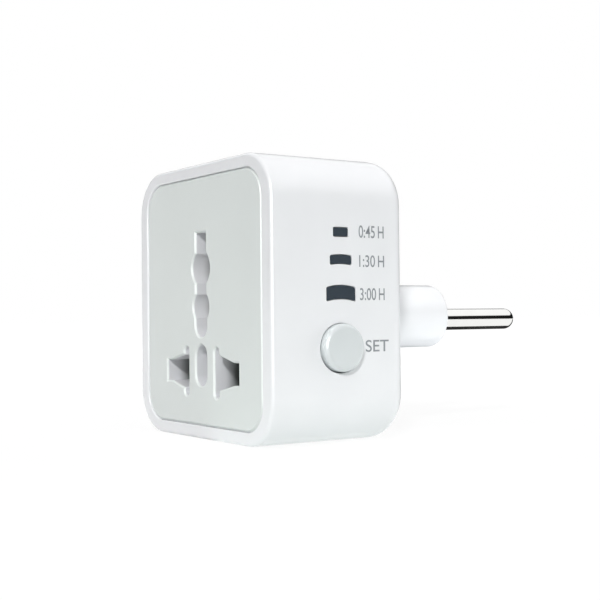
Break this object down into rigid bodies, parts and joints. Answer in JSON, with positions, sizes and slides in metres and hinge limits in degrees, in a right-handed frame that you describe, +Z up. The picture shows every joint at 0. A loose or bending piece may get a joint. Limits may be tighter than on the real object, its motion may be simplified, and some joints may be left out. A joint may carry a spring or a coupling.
{
  "type": "plug in timer switch",
  "caption": "Wall-plug timer switch with a universal socket on its face, lit time windows and a set button on its side, and two round plug pins behind.",
  "frame": {"origin": "middle of the case's flat underside, halfway through the case's depth", "axes": "+Y out of the back towards the wall, along the plug pins; +Z up; the button and windows are on the +X side and the socket face looks along -Y"},
  "size_m": [0.0572, 0.079, 0.057],
  "materials": {
    "case_white": "satin moulded",
    "plate_grey": "satin moulded",
    "block_plastic": "moulded",
    "contact_brass": "stamped",
    "pin_nickel": "nickel plated, polished",
    "screw_steel": "zinc plated",
    "board_green": "solder resist",
    "relay_blue": "moulded",
    "black_plastic": "moulded",
    "coil_copper": "enamelled wire",
    "film_yellow": "moulded",
    "can_sleeve": "printed-free sleeve",
    "fuse_glass": "lacquered",
    "plunger_grey": "moulded",
    "button_grey": "satin moulded",
    "led_body": "clear resin",
    "window_tint": "tinted, polished",
    "lead_brown": "insulation",
    "lead_blue": "insulation"
  },
  "bodies": {
    "case": {"front_case": "case_white", "rear_cover": "case_white", "faceplate": "plate_grey", "contact_block": "block_plastic", "live_contact": "contact_brass", "neutral_contact": "contact_brass", "earth_contact": "contact_brass", "plug_pin_left": "pin_nickel", "plug_pin_right": "pin_nickel", "pin_retainer": "block_plastic", "retainer_screw": "screw_steel", "circuit_board": "board_green", "relay_cover": "relay_blue", "relay_base": "black_plastic", "relay_coil": "coil_copper", "relay_yoke": "screw_steel", "relay_fixed_contact": "contact_brass", "film_capacitor": "film_yellow", "electrolytic_capacitor": "can_sleeve", "varistor": "relay_blue", "fuse": "fuse_glass", "controller_chip": "black_plastic", "chip_resistors": "black_plastic", "rectifier_diodes": "black_plastic", "driver_transistor": "black_plastic", "tact_switch": "black_plastic", "led_045": "led_body", "led_130": "led_body", "led_300": "led_body", "light_baffle": "black_plastic", "window_045": "window_tint", "window_130": "window_tint", "window_300": "window_tint", "case_screws": "screw_steel", "board_screws": "screw_steel", "block_screws": "screw_steel", "lead_live": "lead_brown", "lead_neutral": "lead_blue", "lead_neutral_board": "lead_blue", "lead_switched": "lead_brown"},
    "button": {"set_button": "button_grey", "tact_plunger": "plunger_grey"},
    "armature": {"relay_armature": "screw_steel"}
  },
  "joints": [
    {"name": "set_press", "type": "slide", "parent": "case", "child": "button", "axis": [-1, 0, 0], "range_m": [0, 0.0005], "stiffness_N_per_m": 3000, "springref_m": -0.0003},
    {"name": "armature_swing", "type": "hinge", "parent": "case", "child": "armature", "pos_m": [0.0132, 0.0035, 0.0421], "axis": [1, 0, 0], "range_deg": [0, 2], "stiffness_Nm_per_rad": 0.05, "springref_deg": -2.86}
  ]
}
